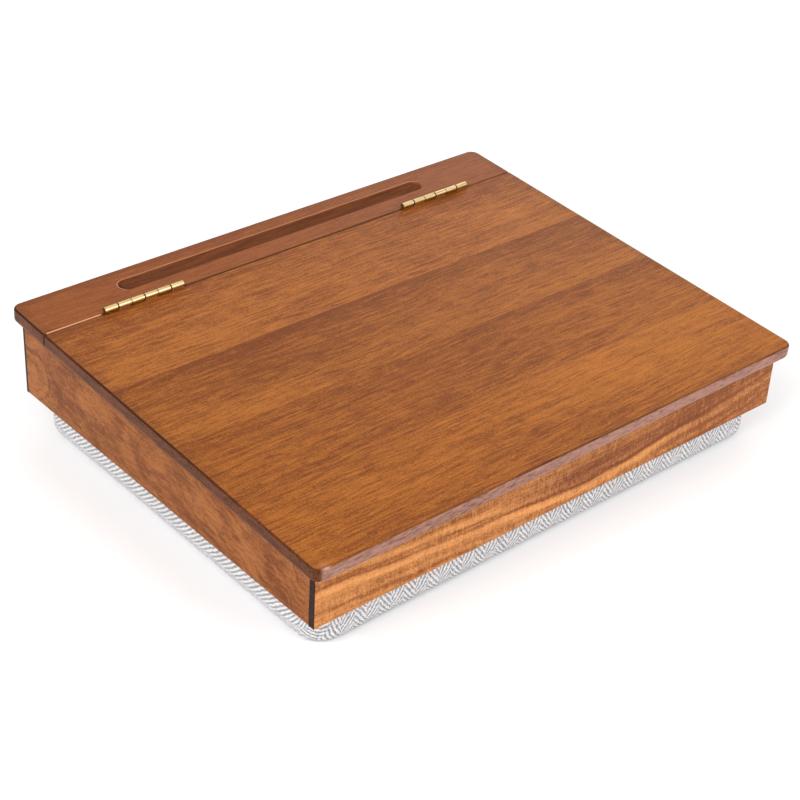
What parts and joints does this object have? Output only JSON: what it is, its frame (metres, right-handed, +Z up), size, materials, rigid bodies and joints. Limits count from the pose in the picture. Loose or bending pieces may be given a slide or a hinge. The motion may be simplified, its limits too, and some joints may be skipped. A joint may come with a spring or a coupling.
{
  "type": "lap desk",
  "caption": "Wooden lap desk: a sloping hinged lid over a shallow storage case, a fixed rail with a pen groove, and a fabric-covered foam cushion below.",
  "frame": {"origin": "on the surface that the cushion rests on, under the middle of the desk top", "axes": "+X to the right of someone sitting at the desk, +Y away from them towards the hinges and pen rail, +Z up"},
  "size_m": [0.406, 0.3198, 0.0922],
  "materials": {
    "lid_wood": "satin",
    "rail_wood": "satin",
    "side_wood": "satin",
    "front_wood": "satin",
    "back_wood": "satin",
    "plywood": "matte",
    "dowel_wood": "matte",
    "fixing_steel": "satin",
    "hinge_brass": "polished",
    "screw_brass": "polished",
    "cover_fabric": "matte",
    "foam": "matte",
    "tape": "matte"
  },
  "bodies": {
    "case": {"pen_rail": "rail_wood", "left_side": "side_wood", "right_side": "side_wood", "front_panel": "front_wood", "back_panel": "back_wood", "base_panel": "plywood", "cushion_board": "plywood", "rail_dowels": "dowel_wood", "base_brads": "fixing_steel", "cover_staples": "fixing_steel", "cushion_cover": "cover_fabric", "foam_pad": "foam", "adhesive_strips": "tape", "left_hinge_rail_leaf": "hinge_brass", "left_hinge_pin": "hinge_brass", "left_hinge_rail_screws": "screw_brass", "right_hinge_rail_leaf": "hinge_brass", "right_hinge_pin": "hinge_brass", "right_hinge_rail_screws": "screw_brass"},
    "lid": {"lid_stave_rear": "lid_wood", "lid_stave_upper_middle": "lid_wood", "lid_stave_lower_middle": "lid_wood", "lid_stave_front": "lid_wood", "left_hinge_lid_leaf": "hinge_brass", "left_hinge_lid_screws": "screw_brass", "right_hinge_lid_leaf": "hinge_brass", "right_hinge_lid_screws": "screw_brass"}
  },
  "joints": [
    {"name": "lid_hinge", "type": "hinge", "parent": "case", "child": "lid", "pos_m": [0, 0.11871, 0.0902], "axis": [-1, 0, 0], "range_deg": [0, 186]}
  ]
}
